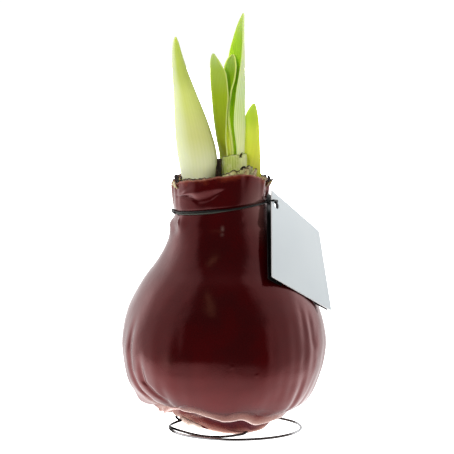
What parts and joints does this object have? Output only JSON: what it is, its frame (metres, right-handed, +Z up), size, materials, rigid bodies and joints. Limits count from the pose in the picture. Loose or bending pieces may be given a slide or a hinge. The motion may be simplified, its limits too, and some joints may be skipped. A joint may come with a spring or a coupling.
{
  "type": "waxed amaryllis bulb",
  "caption": "Flower bulb dipped in dark red wax, with a fat bud and strap leaves rising from its cut neck, an elastic tie with a square card tag, and a steel wire ring at its foot to stand on.",
  "frame": {"origin": "on the floor, on the flat spot under the wax foot, straight below the middle of the bulb", "axes": "+Z up along the bulb's axis, -Y towards the side that the tag and the front leaf face, +X towards the tag"},
  "size_m": [0.0924, 0.0898, 0.1853],
  "materials": {
    "red_wax": "gloss",
    "bulb_scales": "matte",
    "bud_green": "satin",
    "leaf_green": "satin",
    "leaf_pale": "satin",
    "sheath_green": "satin",
    "steel_wire": "polished",
    "elastic_black": "matte",
    "tag_card": "satin"
  },
  "bodies": {
    "root": {"wax_coat": "red_wax", "bulb": "bulb_scales", "flower_bud": "bud_green", "leaf_front": "leaf_green", "leaf_folded": "leaf_green", "leaf_tall": "leaf_pale", "leaf_small": "leaf_pale", "cut_sheath": "sheath_green", "stand": "steel_wire", "tie": "elastic_black", "tag": "tag_card"}
  },
  "joints": []
}
